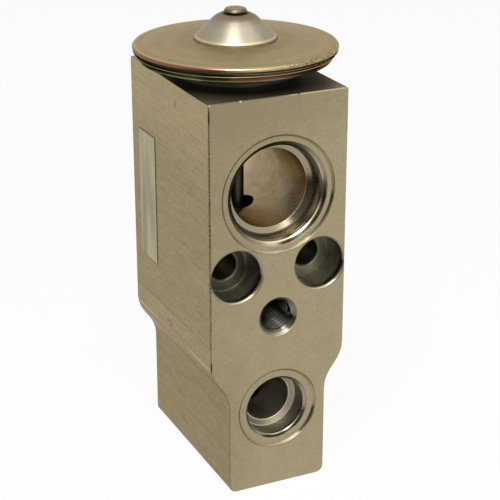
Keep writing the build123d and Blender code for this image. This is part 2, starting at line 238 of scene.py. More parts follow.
# Rings about the holes: radius, half width and soft edge. From the face inwards the ports have the
# spotface's wall, the mouth's chamfer, the seal pilot's wall, the floor's outer edge and the ledge that
# slopes to the bore.
suction_step_ring = (0.0113, 0.00025, 0.00005)
suction_slope_ring = (0.0098, 0.0005, 0.0001)
suction_pilot_ring = (0.0089, 0.0005, 0.0001)
suction_floor_ring = (0.00895, 0.00018, 0.00003)
suction_ledge_ring = (0.0083, 0.00046, 0.00004)
liquid_step_ring = (0.00805, 0.00025, 0.00005)
liquid_slope_ring = (0.0064, 0.0004, 0.0001)
liquid_pilot_ring = (0.0058, 0.00045, 0.0001)
liquid_ledge_ring = (0.00535, 0.0004, 0.00004)
pocket_rim_ring = (0.00552, 0.00012, 0.00008)
pocket_corner_ring = (0.0046, 0.0002, 0.0001)
screw_hole_ring = (0.0029, 0.00012, 0.00008)
burr_edge = (0.00005, 0.00007)
suction_outer_slope = (0.00955, 0.00975)
liquid_outer_slope = (0.00608, 0.00625)
suction_inner_floor = 0.0093
liquid_inner_floor = 0.0060

faced_colour = (0.408, 0.347, 0.214, 1.0)
faced_shade = (0.300, 0.252, 0.152, 1.0)
drawn_colour = (0.430, 0.355, 0.210, 1.0)
drawn_shade = (0.200, 0.157, 0.086, 1.0)
mouth_colour = (0.300, 0.265, 0.195, 1.0)
mouth_shade = (0.043, 0.037, 0.027, 1.0)
mouth_dark = (0.010, 0.008, 0.006, 1.0)
bored_edge = (0.380, 0.355, 0.285, 1.0)
stud_edge = (0.235, 0.215, 0.170, 1.0)
turned_colour = (0.345, 0.265, 0.158, 1.0)
turned_shade = (0.230, 0.168, 0.095, 1.0)
bore_highlight_colour = (0.640, 0.515, 0.350, 1.0)
pilot_lit_colour = (0.680, 0.585, 0.440, 1.0)
pilot_shade = (0.085, 0.071, 0.051, 1.0)
liquid_pilot_colour = (0.370, 0.340, 0.275, 1.0)
ledge_colour = (0.330, 0.280, 0.190, 1.0)
ledge_shade = (0.064, 0.054, 0.037, 1.0)
bore_shade_colour = (0.165, 0.140, 0.105, 1.0)
liquid_bore_colour = (0.560, 0.550, 0.440, 1.0)
pocket_colour = (0.350, 0.335, 0.262, 1.0)
pocket_shade = (0.215, 0.205, 0.160, 1.0)
shaded_left_floor = (0.100, 0.090, 0.066, 1.0)
lit_right_floor = (0.245, 0.222, 0.162, 1.0)
pocket_corner_highlight = (0.420, 0.375, 0.270, 1.0)
hole_colour = (0.260, 0.260, 0.205, 1.0)
stud_hole_shade = (0.030, 0.030, 0.024, 1.0)
shaded_top = (0.085, 0.072, 0.055, 1.0)
edge_tint = (0.82, 0.77, 0.66, 1.0)
scratch_colour = (0.075, 0.055, 0.030, 1.0)
worn_colour = (0.420, 0.370, 0.250, 1.0)

# Places on the block: the front half, the faces, the mouths and the sides that kept their drawn skin.
block = Finish("block aluminium")
x, y, z = (block.place.part(axis) for axis in "XYZ")
front = y.above(0.0, -0.001)
depth = block_half_depth - abs(y)
at_face = depth.above(0.00006, 0.00002)
below_face = depth.above(0.00004, 0.00010)
below_spotface = depth.above(0.00041, 0.00046)
at_end = z.above(block_height - 0.00006, block_height - 0.00002)
shallow = (depth.above(0.0006, 0.0005) + at_end).above(0.0, 1.0)
at_mouth = (depth.above(0.00095, 0.00088) + at_end).above(0.0, 1.0)
upper_side = abs(x).above(block_half_width - 0.00007, block_half_width - 0.00003)
foot_side = abs(x).above(foot_half_width - 0.0006, foot_half_width - 0.0004)
foot_side *= z.above(shoulder_end, shoulder_end - 0.0002)
drawn = (upper_side + foot_side) * depth.above(0.00004, 0.00012)

# Its holes: the liquid port lies lower in front than behind, and the screw holes mirror each other.
from_screw = x + x.above(0.0001, -0.0001) * (2 * screw_offset) - screw_offset
suction = Bore(x, z - suction_height)
liquid = Bore(x, z - outlet_height + front * (outlet_height - inlet_height))
screw = Bore(from_screw, z - screw_height)
stud = Bore(x, z - stud_height)

blotches = block.noise(260.0, 3.0, 0.6)
grain = block.noise(2600.0, 3.0, 0.7)
draw_lines = block.noise(block.stretched(500.0, 110.0, 4200.0), 3.0, 0.7)
broad_lines = block.noise(block.stretched(90.0, 60.0, 900.0), 3.0, 0.7)
turned_lines = block.noise(block.stretched(0.0, 5200.0, 0.0), 2.0, 0.7)
smears = block.noise(block.stretched(420.0, 300.0, 420.0), 4.0, 0.65)

# Port faces and drawn sides. The port faces carry painted shade, darkening towards the upper left, and
# are also darker at the lower left and towards the top; the sides are lighter towards the top. A line
# that the die left runs along the sides, above the shoulders.
# Painted shade: the port faces darker towards the upper left.
room_shade = (x * 14 + (0.050 - z) * 7).above(0.10, -0.35)
low_left = x.above(-0.003, -0.010) * z.above(0.036, 0.020)
faced = block.blend(
    blotches.above(0.3, 0.75) * 0.2
    + grain.above(0.35, 0.7) * 0.5
    + room_shade * 0.5
    + low_left * 0.35
    + z.above(0.068, 0.078) * 0.3,
    faced_colour,
    faced_shade,
)
die_line = z.near(die_line_height, 0.00005, 0.00012)
below_line = z.above(die_line_height + 0.0002, die_line_height - 0.0001)
extruded = block.blend(
    draw_lines.above(0.40, 0.66) * 0.34
    + broad_lines.above(0.35, 0.75) * 0.16
    + grain.above(0.35, 0.7) * 0.42
    + die_line * 0.4
    - below_line * 0.1
    + foot_side * 0.22
    - z.above(0.060, 0.076) * 0.32
    + 0.16,
    drawn_colour,
    drawn_shade,
)

# Bores: turned. The suction bore has painted shade on its wall in front and a painted highlight near the
# mouth at its lower right.
turned = block.blend(
    smears.above(0.35, 0.68) * 0.75 + turned_lines.above(0.4, 0.7) * 0.25,
    turned_colour,
    turned_shade,
)
# Painted highlight near the mouth at the suction bore's lower right, and painted shade on its wall in
# front.
bore_lit_side = suction.side(-40, -0.2, 0.5)
bore_highlight = bore_lit_side * depth.above(0.0150, 0.0060) * 0.6
front_bore_shade = suction.within(suction_bore_radius, 0.0002) * y.above(0.002, -0.013)
front_bore_shade *= (smears.above(0.2, 0.6) * 0.4 + 0.5) * (1 - bore_lit_side * 0.85)
bore = block.blend(front_bore_shade, block.blend(bore_highlight, turned, bore_highlight_colour), bore_shade_colour)
# Painted light: the liquid bore's colour is raised to light it deep inside.
bore = block.blend(liquid.within(liquid_bore_radius, 0.0001), bore, liquid_bore_colour)

# Seal pilots: turned walls, each with a ledge on its floor. The suction pilot's wall is painted light,
# with painted shade and a painted dark lip where it would reflect the far side of the mouth; the liquid
# pilot's colour is raised as painted light too.
suction_pilot = suction.ring(*suction_pilot_ring) * depth.above(0.00085, 0.00092)
liquid_pilot = liquid.ring(*liquid_pilot_ring) * depth.above(0.0008, 0.0010)
pilot_lip = suction_pilot * depth.above(0.0016, 0.0014)
# Painted shade and a painted dark lip on the suction pilot's wall.
pilot_painted_shade = (
    pilot_lip * (suction.side(-42, 0.75, 0.93) * 0.7 + 0.3)
    + suction.side(-140, 0.5, 0.9) * 0.7
    + suction.side(-75, 0.70, 0.95) * 0.45
    + suction.side(60, 0.3, 0.8) * 0.65
)
pilot_light_and_shade = block.blend(pilot_painted_shade.above(0.0, 1.0), pilot_lit_colour, pilot_shade)
pilot_light_and_shade = block.blend(pilot_lip * suction.side(-58, 0.85, 0.97) * 0.85, pilot_light_and_shade, mouth_dark)
ported = block.blend(suction_pilot, bore, pilot_light_and_shade)
ported = block.blend(liquid_pilot, ported, liquid_pilot_colour)

at_suction_floor = depth.above(suction_floor - 0.0001, suction_floor)
at_liquid_floor = depth.above(liquid_floor - 0.0002, liquid_floor)
ledge = suction.ring(*suction_ledge_ring) * at_suction_floor
ledge += liquid.ring(*liquid_ledge_ring) * at_liquid_floor
# Painted shade: the suction ledge is dark at its lower right and the liquid ledge at its lower left, and
# a dark line runs round the suction floor's outer edge.
ledge_shaded_side = suction.side(-27, 0.76, 0.92) * suction.within(suction_inner_floor, 0.0002)
ledge_shaded_side += liquid.side(-150, 0.3, 0.9) * liquid.within(liquid_inner_floor, 0.0002) * 0.6
painted_ledge = block.blend(ledge_shaded_side, ledge_colour, ledge_shade)
ported = block.blend(suction.ring(*suction_floor_ring) * at_suction_floor, ported, ledge_shade)
ported = block.blend(ledge.above(0.0, 1.0), ported, painted_ledge)

# Screw pockets with their through holes, and the stud hole behind its thread. The left pocket's floor
# has painted shade and the right one's painted light, the hole rims and the floor corners at the upper
# right carry painted highlights, and the stud hole is painted near black as shade.
at_pocket_floor = depth.above(pocket_depth - 0.0003, pocket_depth)
in_pocket = screw.within(pocket_radius + 0.0001, 0.0001) * depth.above(0.0004, 0.0007)
pocket_end = screw.within(pocket_radius - 0.0003, 0.0002) * at_pocket_floor
in_hole = screw.within(screw_hole_radius, 0.0001) * at_pocket_floor
# Painted highlights on the hole rims and the upper right floor corners.
corner_highlights = screw.ring(*screw_hole_ring) * 0.6
corner_highlights += screw.ring(*pocket_corner_ring) * screw.side(24, 0.80, 0.95)
pocket_wall = block.blend(smears.above(0.35, 0.65), pocket_colour, pocket_shade)
pocket_floor = block.blend(x.above(-0.001, 0.001), shaded_left_floor, lit_right_floor)
pocket_floor = block.blend(corner_highlights.above(0.0, 1.0) * 0.8, pocket_floor, pocket_corner_highlight)
pocket = block.blend(pocket_end, pocket_wall, pocket_floor)
pocket = block.blend(in_hole, pocket, hole_colour)
# Painted shade: the stud hole near black.
in_stud = stud.within(stud_radius, 0.0001) * depth.above(0.0006, 0.0009) * front
inside = block.blend(in_pocket, ported, pocket)
inside = block.blend(in_stud, inside, stud_hole_shade)

# Mouths: the steps, chamfers and rims of all the holes, each with painted shade at its lower right and
# low side that narrows its highlight; the ports' outer chamfers go near black low down, and the face
# beside each pocket has a painted dark patch at the lower right.
suction_slope = suction.ring(*suction_slope_ring) * below_spotface
liquid_slope = liquid.ring(*liquid_slope_ring) * below_spotface
suction_step = suction.ring(*suction_step_ring) * below_face
liquid_step = liquid.ring(*liquid_step_ring) * below_face
stud_mouth = stud.within(stud_chamfer_radius, 0.0001) * below_face * front
screw_mouth = screw.within(pocket_radius + 0.00030, 0.00006) * below_face * front
low_suction = suction.side(-58, 0.80, 0.95)
low_liquid = liquid.side(-75, 0.6, 0.9)
low_stud = stud_mouth * stud.within(stud_lip_radius, 0.0002) * stud.side(-75, 0.2, 0.7)
low_screw = screw_mouth * screw.within(pocket_radius + 0.00010, 0.00008)
low_screw *= screw.side(-65, 0.2, 0.7)
screw_side = screw.side(-28, 0.89, 0.97)
low_chamfer_shade = suction_slope * suction.distance.above(*suction_outer_slope) * low_suction
low_chamfer_shade += liquid_slope * liquid.distance.above(*liquid_outer_slope) * low_liquid
# Painted shade at the mouths' lower right and low sides.
mouth_painted_shade = (
    (suction_slope + suction_step) * suction.side(-29, 0.88, 0.97)
    + (liquid_slope * 0.3 + liquid_step) * liquid.side(-30, 0.89, 0.98)
    + stud_mouth * stud.side(-33, 0.89, 0.97)
    + screw_mouth * screw_side
    + low_chamfer_shade
    + suction_step * (low_suction * 0.5 + 0.15)
    + liquid_step * (low_liquid * 0.3 + 0.1)
    + low_stud * 0.75
    + low_screw * 0.75
    + screw.ring(*pocket_rim_ring) * at_face * front * screw_side * 0.6
)
mouth = block.blend(screw_mouth, faced, bored_edge)
mouth = block.blend(stud_mouth, mouth, stud_edge)
mouth = block.blend((suction_slope + liquid_slope).above(0.0, 1.0), mouth, mouth_colour)
mouth = block.blend(mouth_painted_shade.above(0.0, 1.0) * 0.92, mouth, mouth_shade)
mouth = block.blend(low_chamfer_shade * 0.7, mouth, mouth_dark)

# Top face: a painted shadow of the head round the neck, and painted shade on the left part of its front
# edge.
around_neck = block.from_upright(head_shade_shift) + smears * 0.003
painted_head_shadow = at_end * around_neck.above(head_shade_end, head_shade_start)
top_edge = z.above(block_height - 0.00021, block_height - 0.00018)
front_edge = top_edge * depth.above(0.00022, 0.00018) * front
shaded = painted_head_shadow * 0.9 + front_edge * (x + blotches * 0.006).above(0.009, 0.001) * 0.8
skin = block.blend(at_mouth, inside, mouth)
skin = block.blend(shaded, skin, shaded_top)
skin = block.blend(drawn, skin, extruded)

# Marks of use: burrs round the spotfaces and knocks on the edges, one of them bright. A dotted dark line
# runs along the front left edge.
burr = suction.ring(suction_spotface, *burr_edge) + liquid.ring(liquid_spotface, *burr_edge)
bruises = sum(
    block.spot(centre, reach)
    for centre, reach in (
        ((-0.014, -0.0036, 0.0754), (0.0003, 0.00022, 0.0010)),
        ((-0.014, 0.0016, 0.0294), (0.0003, 0.0012, 0.00018)),
        ((-0.014, 0.0006, 0.0288), (0.0003, 0.00022, 0.0006)),
        ((0.0038, -0.019, 0.07915), (0.00035, 0.0003, 0.0002)),
        ((0.0139, -0.019, 0.0714), (0.0002, 0.0003, 0.0006)),
        ((-0.0139, -0.019, 0.0278), (0.0002, 0.0003, 0.0017)),
        ((-0.0139, -0.019, 0.0768), (0.0002, 0.0003, 0.0018)),
    )
)
dots = block.noise(block.stretched(0.0, 0.0, 2200.0), 2.0, 0.6).above(0.42, 0.56)
dot_groups = block.noise(block.stretched(0.0, 0.0, 300.0), 1.0, 0.5).above(0.35, 0.6)
edge_dots = block.spot((-0.0139, -0.0189, 0.0530), (0.00028, 0.00028, 0.0300))
edge_dots *= dots * (dot_groups * 0.6 + 0.3)
nick = block.spot((-0.0077, -0.019, 0.0792), (0.00035, 0.0003, 0.0003))
burred = burr * at_face * (blotches.above(0.25, 0.65) * 0.6 + 0.25)
colour = block.blend(burred, skin, scratch_colour)
colour = block.blend(bruises.above(0.0, 1.0) + edge_dots * 0.85, colour, scratch_colour)
colour = block.blend(nick, colour, worn_colour)

relief = grain * at_face * 0.6 + draw_lines * drawn * 0.8
in_liquid = liquid.within(liquid_pilot_radius, 0.0001)
dull_inside = (in_liquid + in_pocket) * depth.above(0.001, 0.002)
block_material = block.shade(
    base_color=colour,
    metallic=1.0,
    specular_tint=edge_tint,
    roughness=drawn * 0.12 + shallow * 0.2 + dull_inside * 0.16 + grain * 0.06 + 0.24,
    normal=block.bump(relief, 0.000006),
)
dress("valve_body", block_material)

# Stud thread: the M6 thread cut in the middle hole, a helical ridge on the hole's wall. It is part of
# the block; the frame's hole has the thread's outer size. It is painted near black, as the shade inside
# the hole.
thread_pitch = 0.001
thread_outer = 0.003
thread_inner = 0.00254
thread_start = 0.0010
thread_end = 0.0125
thread_steps = 36
# Radius, and height as a share of the pitch.
thread_ridge = ((thread_outer, 0.0), (thread_inner, 0.38), (thread_inner, 0.5), (thread_outer, 0.9))
# Painted shade: the thread's near black colours.
thread_shade_colour = (0.076, 0.076, 0.060, 1.0)
thread_deep_shade = (0.040, 0.040, 0.031, 1.0)
cut_tint = (0.25, 0.25, 0.20, 1.0)
sharp_angle = math.radians(35)


def sweep(shape, swept, turns, rise, steps, merge=False):
    """Turns edges about the upright axis while they rise, and returns what they become at the end."""
    return bmesh.ops.spin(
        shape,
        geom=swept,
        cent=(0, 0, 0),
        axis=(0, 0, 1),
        dvec=(0, 0, rise / steps),
        angle=2 * math.pi * turns,
        steps=steps,
        use_merge=merge,
        use_duplicate=False,
    )["geom_last"]


def settle(shape, name, material, body, smooth=True):
    """Turns a bmesh into a piece of the scene that rides on a body of the frame, or on none yet."""
    for edge in shape.edges:
        edge.smooth = len(edge.link_faces) != 2 or edge.calc_face_angle() < sharp_angle
    mesh = bpy.data.meshes.new(name)
    shape.to_mesh(mesh)
    shape.free()
    for face in mesh.polygons:
        face.use_smooth = smooth
    mesh.materials.append(material)
    piece = bpy.data.objects.new(name, mesh)
    bpy.context.scene.collection.objects.link(piece)
    if body:
        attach(piece, body)
    return piece


thread = bmesh.new()
ridge = [thread.verts.new((radius, 0, share * thread_pitch)) for radius, share in thread_ridge]
ridge_edges = [thread.edges.new(pair) for pair in zip(ridge, ridge[1:])]
thread_turns = round((thread_end - thread_start) / thread_pitch)
thread_rise = thread_pitch * thread_turns
sweep(thread, ridge + ridge_edges, thread_turns, thread_rise, thread_steps * thread_turns)
inwards = Matrix.Rotation(-math.pi / 2, 4, "X")
at_hole = Matrix.Translation((0, thread_start - block_half_depth, stud_height))
bmesh.ops.transform(thread, verts=thread.verts, matrix=at_hole @ inwards)
bmesh.ops.recalc_face_normals(thread, faces=thread.faces)

cut = Finish("cut thread")
cut_material = cut.shade(
    base_color=cut.blend(cut.noise(900.0), thread_shade_colour, thread_deep_shade),
    metallic=1.0,
    specular_tint=cut_tint,
    roughness=0.28,
)
settle(thread, "stud_thread", cut_material, "valve_block", smooth=False)

# Thermal head, upper shell: pressed from steel sheet with a dome in the middle, zinc plated and faintly
# yellow. The dome is polished by its press tool, and the rim is rolled over and welded. The bend at the
# dome's foot carries a painted highlight, with a painted shade line in the crease round its foot, and
# the dome is darker and browner near the plug.


def turn(profile, facets):
    """Solid of revolution about the valve's upright axis, from (radius, height) points."""
    shape = bmesh.new()
    verts = [shape.verts.new((radius, 0.0, height)) for radius, height in profile]
    edges = [shape.edges.new(pair) for pair in zip(verts, verts[1:])]
    sweep(shape, verts + edges, 1, 0, facets, merge=True)
    bmesh.ops.remove_doubles(shape, verts=shape.verts, dist=1e-7)
    bmesh.ops.recalc_face_normals(shape, faces=shape.faces)
    return shape


def arc(centre_radius, centre_height, bend, start, end, count=8):
    """Points of a bend in a profile, from one angle to another in degrees, 0 outwards and 90 up."""
    angles = (math.radians(start + (end - start) * k / count) for k in range(count + 1))
    return [(centre_radius + bend * math.cos(a), centre_height + bend * math.sin(a)) for a in angles]


rim_radius = 0.01942
rim_low = 0.0838
rim_high = 0.0848
rim_bend = 0.0005
rim_inner_radius = 0.0175
rim_facets = 160
dome_radius = 0.00775
dome_foot = 0.08550
dome_high = 0.09045
dome_bend = 0.0040
flank_angle = 45
bead_bend = 0.00030
bead_height = dome_foot + 0.00034
shell_thickness = 0.001
# The plate falls gently from the dome to the rim: radius and height.
plate_points = [(0.0130, 0.08526), (0.0176, 0.08494)]

# The dome's flank stands at 45 degrees, so radius and height add up to the same all along it.
bead_radius = dome_radius - bead_bend
bead_reach = bead_bend * math.sin(math.radians(flank_angle))
flank_top = bead_radius + bead_height + 2 * bead_reach - dome_high
shoulder_radius = flank_top - dome_bend * math.tan(math.radians(flank_angle / 2))
inner_high = dome_high - shell_thickness
cover_profile = [(0.0, dome_high)]
cover_profile += arc(shoulder_radius, dome_high - dome_bend, dome_bend, 90, flank_angle, 14)
cover_profile += arc(bead_radius, bead_height, bead_bend, flank_angle, -20)
cover_profile += [(dome_radius - 0.00003, dome_foot)] + plate_points
cover_profile += arc(rim_radius - rim_bend, rim_high - rim_bend - 0.00002, rim_bend, 80, -60, 12)
cover_profile += [(rim_inner_radius, rim_low)]
cover_profile += [(dome_radius - shell_thickness, dome_foot - shell_thickness)]
cover_profile += [(flank_top - shell_thickness / 2, inner_high), (0.0, inner_high)]
cover = turn(cover_profile, rim_facets)

plated_colour = (0.350, 0.285, 0.168, 1.0)
plated_shade = (0.265, 0.208, 0.116, 1.0)
dome_colour = (0.335, 0.295, 0.225, 1.0)
dome_dark_colour = (0.175, 0.130, 0.094, 1.0)
# Painted highlight on the bead at the dome's foot.
bead_highlight_colour = (0.560, 0.500, 0.320, 1.0)
foot_shade_colour = (0.150, 0.085, 0.050, 1.0)
straw_colour = (0.430, 0.335, 0.180, 1.0)
rose_colour = (0.225, 0.098, 0.060, 1.0)
copper_colour = (0.150, 0.080, 0.045, 1.0)
soot_colour = (0.030, 0.025, 0.018, 1.0)
soot_radius = 0.0030
halo_radius = 0.0098
pressed_ring_radius = 0.0166
press_rings_per_metre = 2400

head = Finish("plated head steel")
head_x = head.place.part("X")
head_z = head.place.part("Z")
across = head.from_upright()
cloud = head.noise(420.0, 3.0, 0.6)
speck = head.noise(2600.0, 3.0, 0.7)
fine = head.noise(7000.0, 2.0, 0.6)
press_rings = head.node(
    "ShaderNodeTexNoise",
    {"noise_dimensions": "1D"},
    {"W": across * press_rings_per_metre, "Scale": 1.0, "Detail": 2.0},
)
on_dome = across.above(dome_radius + 0.00005, dome_radius - 0.00005)
on_bead = across.near(dome_radius - 0.00012, 0.00014, 0.00012)
near_plug = across.above(0.0056, 0.0030)
plug_dark_ring = (across + speck * 0.0010).above(soot_radius + 0.0003, soot_radius)
halo = across.near(halo_radius, 0.0006, 0.0018)
pressed_ring = across.near(pressed_ring_radius, 0.0003, 0.0012)
# Painted shade in the crease round the dome's foot.
foot_shade_line = across.near(dome_radius + 0.00016, 0.00008, 0.00008)
on_rim = across.above(rim_radius - 0.0008, rim_radius - 0.0005)
low_rim = head_z.above(rim_high - 0.00066, rim_high - 0.00076)
right_side = (head_x + cloud * 0.006).above(0.001, 0.008)
left_side = (head_x + cloud * 0.006).above(-0.0050, -0.0090)
left_side *= head_z.above(rim_high - 0.00008, rim_high - 0.00022)

smudges = (
    head.spot((-0.0108, -0.0098, 0.0853), (0.0026, 0.0014, 0.0010))
    + head.spot((-0.0040, -0.0116, 0.0853), (0.0003, 0.0007, 0.0010))
    + head.spot((0.0075, -0.0125, 0.0853), (0.0006, 0.0003, 0.0010))
)
dulled_plate = (
    cloud.above(0.3, 0.75) * 0.35
    + speck.above(0.35, 0.7) * 0.3
    + press_rings.above(0.4, 0.7) * 0.15
    + halo * 0.4
    + smudges * cloud * 0.5
    - pressed_ring * 0.25
    + 0.12
)
plate = head.blend(dulled_plate, plated_colour, plated_shade)
plate = head.blend(foot_shade_line * cloud.above(0.3, 0.6), plate, foot_shade_colour)
dome_darkening = near_plug * 0.75 + cloud.above(0.4, 0.8) * 0.2 + speck.above(0.45, 0.8) * 0.2
dome = head.blend(dome_darkening, dome_colour, dome_dark_colour)
dome = head.blend(on_bead * 0.6, dome, bead_highlight_colour)
dome = head.blend(plug_dark_ring, dome, soot_colour)
rim = head.blend(left_side, straw_colour, rose_colour)
rim = head.blend(speck.above(0.47, 0.54) * right_side * 0.85, rim, copper_colour)
under_rim = head.blend(speck.above(0.52, 0.60), soot_colour, copper_colour)
rim = head.blend(low_rim, rim, under_rim)
head_material = head.shade(
    base_color=head.blend(on_rim, head.blend(on_dome, plate, dome), rim),
    metallic=1.0,
    specular_tint=edge_tint,
    roughness=0.46 - on_dome * 0.11 - on_rim * 0.2 + fine * 0.06,
    normal=head.bump(fine * 0.4 + speck * on_rim * right_side, 0.00002),
)
cover_piece = settle(cover, "head_cover_shell", head_material, "valve_block")
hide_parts("head_cover")

# Thermal head, lower shell: the dish under the diaphragm, pressed from steel too. The seam weld left its
# edge copper coloured on the right; the dark green band on the left is a painted reflection, the thin
# bright lines round the band are painted highlights, and the underside is painted near black as the
# shade under the head.
base_low = 0.0802
base_floor = 0.0814
base_edge_low = 0.0818
base_rim_high = 0.0836
base_rim = 0.0193
base_slope = 0.0168
base_floor_radius = 0.0126
base_edge_radius = 0.0179
neck_spigot = 0.00752
edge_bend = 0.0003
# Steps of the outer edge: radius and height.
edge_steps = [(0.01872, 0.08285), (0.01890, 0.08300), (0.01884, 0.08312), (0.01908, 0.08340)]
upper_line = 0.08300
lower_line = 0.08212
weld_copper = (0.300, 0.185, 0.120, 1.0)
green_reflection_colour = (0.055, 0.062, 0.038, 1.0)
highlight_line_colour = (0.400, 0.330, 0.190, 1.0)
underside_shade_colour = (0.035, 0.030, 0.022, 1.0)
seam_tint = (0.20, 0.18, 0.11, 1.0)

base_profile = [(neck_spigot, base_low), (base_floor_radius, base_low), (base_slope, base_edge_low)]
base_profile += arc(base_edge_radius, base_edge_low + edge_bend, edge_bend, -80, -20)
base_profile += edge_steps
base_profile += [(base_rim, base_rim_high), (base_slope, base_rim_high)]
base_profile += [(base_floor_radius, base_floor), (neck_spigot, base_floor), (neck_spigot, base_low)]
base = turn(base_profile, rim_facets)

seam = Finish("welded rim steel")
seam_x = seam.place.part("X")
seam_z = seam.place.part("Z")
seam_speck = seam.noise(1500.0, 3.0, 0.7)
seam_cloud = seam.noise(260.0, 2.0, 0.6)
# Painted reflection: the dark green band on the left; painted highlights: the pale lines.
green_reflection_side = (seam_x + seam_cloud * 0.004).above(-0.0040, -0.0075)
highlight_lines = seam_z.near(upper_line, 0.00003, 0.00005) + seam_z.near(lower_line, 0.00005, 0.00008)
banded = seam.blend(green_reflection_side, weld_copper, green_reflection_colour)
banded = seam.blend(highlight_lines.above(0.0, 1.0) * 0.8, banded, highlight_line_colour)
seam_material = seam.shade(
    base_color=seam.blend(seam_z.above(0.08195, 0.08175), banded, underside_shade_colour),
    metallic=1.0,
    specular_tint=seam_tint,
    roughness=0.26 + seam_speck * 0.12,
    normal=seam.bump(seam_speck, 0.00003),
)
base_piece = settle(base, "head_base_shell", seam_material, "valve_block")
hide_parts("head_base")

# Seam weld: the bead of steel that joins both shells and the diaphragm round the rim, blue-black and
# copper in patches.
weld_inner_radius = 0.0190
weld_centre_radius = 0.01912
weld_height = 0.08372
weld_half_height = 0.0002
weld_bend = 0.00021
weld_facets = 200
weld_tint = (0.20, 0.14, 0.08, 1.0)

weld_foot = (weld_inner_radius, weld_height - weld_half_height)
weld_profile = [weld_foot]
weld_profile += arc(weld_centre_radius, weld_height, weld_bend, -70, 70)
weld_profile += [(weld_inner_radius, weld_height + weld_half_height), weld_foot]
weld = turn(weld_profile, weld_facets)

bead = Finish("weld bead")
patches = bead.noise(bead.stretched(900.0, 900.0, 300.0), 3.0, 0.7)
clean_weld = (bead.place.part("Z") + patches * 0.00016).above(0.08384, 0.08376)
clean_weld *= (bead.place.part("X") + patches * 0.004).above(-0.0080, -0.0045)
bead_material = bead.shade(
    base_color=bead.blend(clean_weld * patches.above(0.35, 0.50), soot_colour, weld_copper),
    metallic=1.0,
    specular_tint=weld_tint,
    roughness=0.3 + patches * 0.2,
    normal=bead.bump(patches, 0.00006),
)
settle(weld, "rim_weld", bead_material, "valve_block")

# Charge plug: the dulled brass button that closes the head after filling. It is resistance welded, and a
# rough black ring lies at its foot and on the dome round it. Its flank is painted darker than its top,
# as shade.
plug_radius = 0.0022
plug_low = dome_high
plug_high = 0.0913
plug_bend = 0.0005
plug_sunk = 0.0002
plug_wobble = 0.00001
plug_lobes = 5
plug_facets = 64
plug_colour = (0.25, 0.20, 0.095, 1.0)
plug_shade = (0.12, 0.095, 0.045, 1.0)
plug_flank_shade = (0.085, 0.072, 0.034, 1.0)

plug_profile = [(0.0, plug_low - plug_sunk), (plug_radius - 0.00005, plug_low - plug_sunk)]
plug_profile += [(plug_radius, plug_low + 0.0003)]
plug_profile += arc(plug_radius - 0.0006, plug_high - plug_bend, plug_bend, 20, 90)
plug_profile += [(0.0010, plug_high - 0.00003), (0.0, plug_high - 0.00005)]
plug = turn(plug_profile, plug_facets)
for vert in plug.verts:
    around = math.atan2(vert.co.y, vert.co.x)
    vert.co.z -= plug_wobble * (1 + math.sin(plug_lobes * around))

brass = Finish("dull brass")
plug_speck = brass.noise(2400.0, 3.0, 0.7)
rough_foot = brass.place.part("Z") + plug_speck * 0.0004
plug_foot = rough_foot.above(plug_low + 0.00055, plug_low + 0.00035)
# Painted shade: the flank darker than the top.
on_flank = brass.from_upright().above(0.0018, 0.0021)
button = brass.blend(plug_speck.above(0.35, 0.7), plug_colour, plug_shade)
button = brass.blend(on_flank * 0.7, button, plug_flank_shade)
brass_material = brass.shade(
    base_color=brass.blend(plug_foot, button, soot_colour),
    metallic=1.0,
    roughness=0.38,
    normal=brass.bump(plug_speck, 0.00005),
)
plug_piece = settle(plug, "charge_plug_button", brass_material, "valve_block")
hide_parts("charge_plug")

# Neck, thrust plate and pin: the neck is turned steel, screwed into the block's top, and painted dark as
# the shade under the head. The aluminium plate stands in it under the diaphragm and pushes the pin, a
# ground steel rod painted dark for the dark bore that it reflects.
# Painted shade on the neck and painted reflection on the pin: their dark colours.
neck_shade_colour = (0.16, 0.145, 0.12, 1.0)
neck_shade = (0.10, 0.09, 0.075, 1.0)
plate_bright = (0.62, 0.60, 0.56, 1.0)
plate_shade = (0.50, 0.48, 0.45, 1.0)
pin_reflection_colour = (0.055, 0.062, 0.050, 1.0)
pin_reflection_shade = (0.035, 0.038, 0.032, 1.0)


def turned_metal(name, lines, colour, shade, metallic, roughness):
    """Metal with the fine rings of a lathe tool, so many per metre of height."""
    metal = Finish(name)
    rings = metal.noise(metal.stretched(0.0, 0.0, lines), 2.0, 0.6)
    ringed = metal.blend(rings, colour, shade)
    return metal.shade(base_color=ringed, metallic=metallic, roughness=roughness)


dress("head_neck", turned_metal("turned neck steel", 6000.0, neck_shade_colour, neck_shade, 0.9, 0.38))
dress("thrust_plate", turned_metal("turned aluminium", 5000.0, plate_bright, plate_shade, 0.9, 0.32))
dress("valve_pin", turned_metal("dark pin steel", 4000.0, pin_reflection_colour, pin_reflection_shade, 0.7, 0.34))

# Bright steel pieces: the diaphragm clamped in the head, the push nut pressed round the pin, and at the
# valve's seat the pressed-in ring, the ball and the sprung ring that damps it.
sheet_colour = (0.60, 0.60, 0.60, 1.0)
sheet_shade = (0.48, 0.48, 0.48, 1.0)

sheet = Finish("bright steel")
sheet_material = sheet.shade(
    base_color=sheet.blend(sheet.noise(300.0), sheet_colour, sheet_shade),
    metallic=0.95,
    roughness=0.26,
)
for name in ("diaphragm", "push_nut", "valve_ball", "damper_ring", "orifice_seat"):
    dress(name, sheet_material)

# Spring: drawn steel wire with closed ends, ground flat. It stands on the adjusting screw, under the
# ball holder.
wire_radius = 0.00055
coil_radius = 0.0036
end_pitch = 0.00115
active_turns = 3
turn_steps = 48
wire_facets = 16
coil_colour = (0.42, 0.41, 0.39, 1.0)
coil_shade = (0.28, 0.27, 0.25, 1.0)

